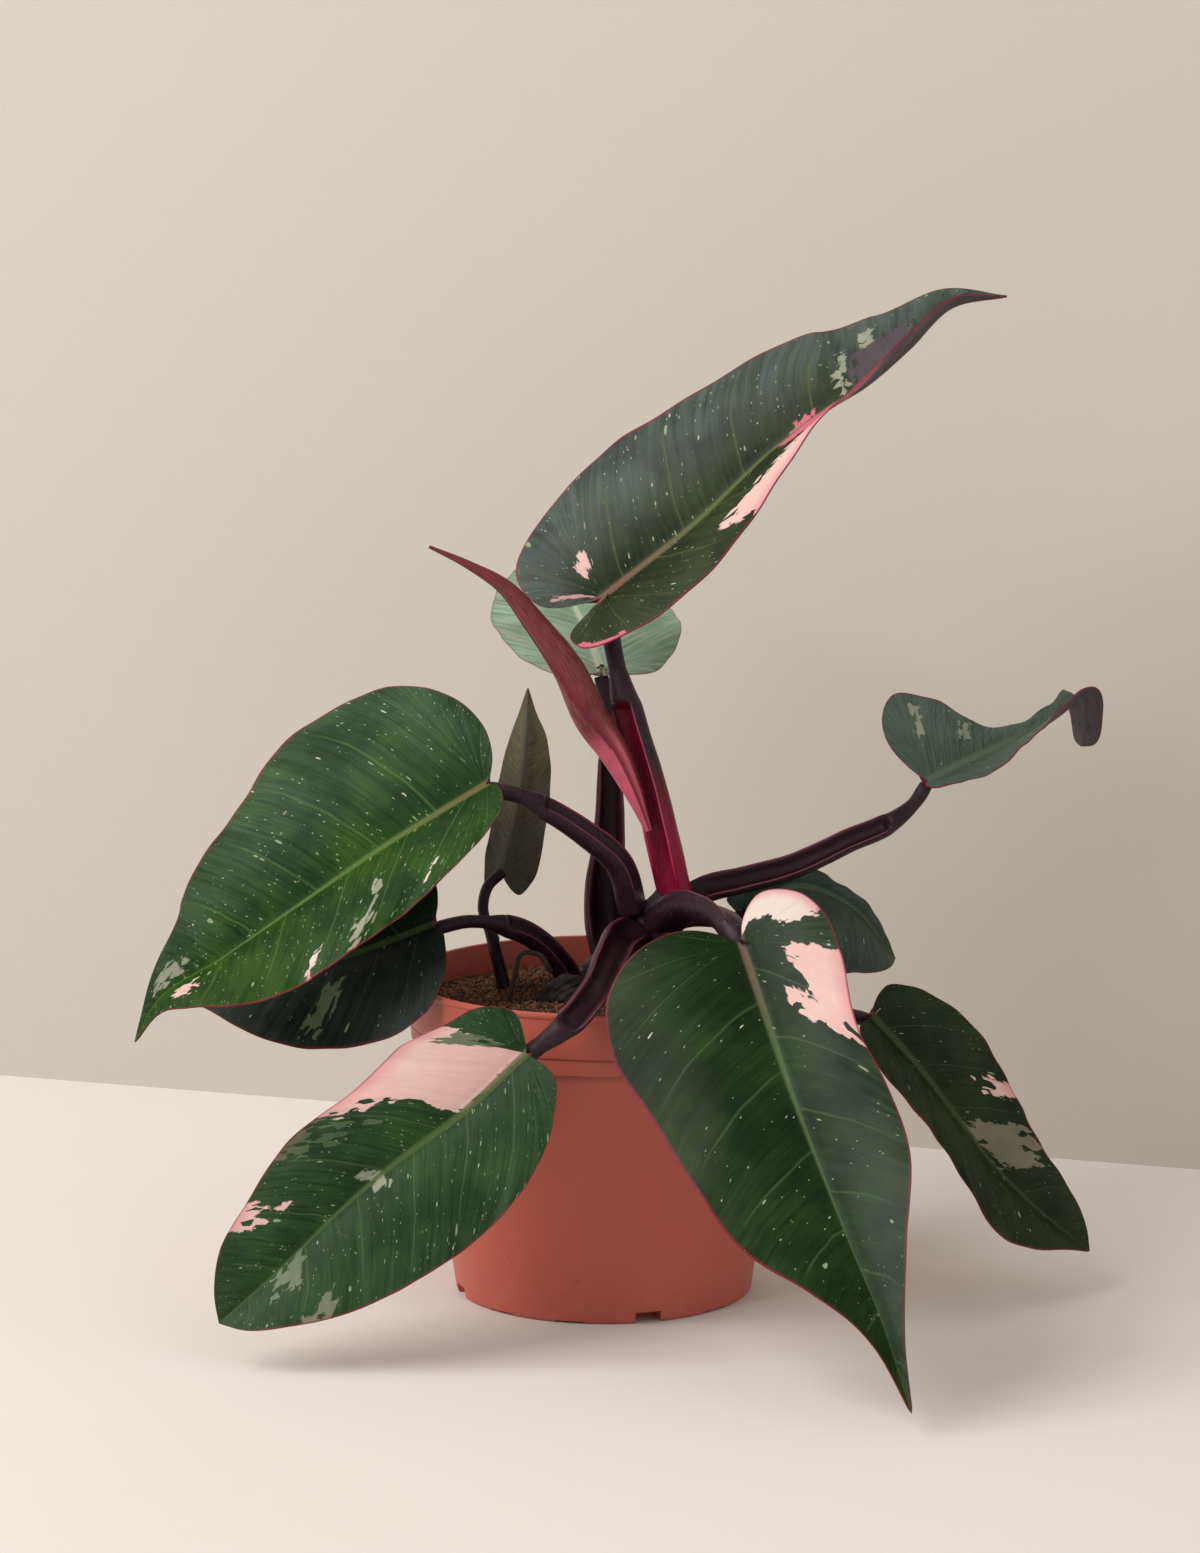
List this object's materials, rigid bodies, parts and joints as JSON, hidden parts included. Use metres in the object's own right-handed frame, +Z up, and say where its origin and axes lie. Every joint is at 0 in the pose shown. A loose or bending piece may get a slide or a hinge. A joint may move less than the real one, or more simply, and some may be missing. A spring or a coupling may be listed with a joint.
{
  "type": "pink princess philodendron",
  "caption": "Potted climbing aroid with heart-shaped green leaves splashed cream and pink, dark sheathed petioles and a rolled new leaf, in a tapered nursery pot.",
  "frame": {"origin": "middle of the pot's flat underside", "axes": "+Z up through the pot, +X to the right and -Y towards the viewer of the pictured side"},
  "size_m": [0.3655, 0.3622, 0.3786],
  "materials": {
    "terracotta": "satin moulded plastic, terracotta coloured",
    "soil": "loose coir and soil crumb",
    "stem": "purple-grey bark-like skin with leaf scars",
    "root": "dry brown aerial root",
    "petiole": "smooth dark purple skin, pale warty flecks, pink sheath edges",
    "petiole_red": "smooth crimson and purple skin",
    "rolled_leaf": "satin rose-red rolled leaf",
    "blade": "satin green leaf with cream and pink sectors and flecks",
    "blade_dark": "satin dark green leaf with pink and cream sectors",
    "blade_under": "dull olive-brown underside"
  },
  "bodies": {
    "root": {"pot": "terracotta", "soil": "soil", "stem": "stem", "rolled_leaf": "rolled_leaf", "dry_sheath": "stem", "root_long": "root", "root_short": "root", "blade_newest": "blade_dark", "petiole_newest": "petiole_red", "blade_left": "blade", "petiole_left": "petiole", "blade_left_low": "blade", "petiole_left_low": "petiole", "blade_front_left": "blade", "petiole_front_left": "petiole", "blade_front": "blade_dark", "petiole_front": "petiole", "blade_right_low": "blade_dark", "petiole_right_low": "petiole", "blade_right_back": "blade", "petiole_right_back": "petiole", "blade_right_high": "blade", "petiole_right_high": "petiole", "blade_back_high": "blade", "petiole_back_high": "petiole", "blade_small_back": "blade_under", "petiole_small_back": "petiole"}
  },
  "joints": []
}
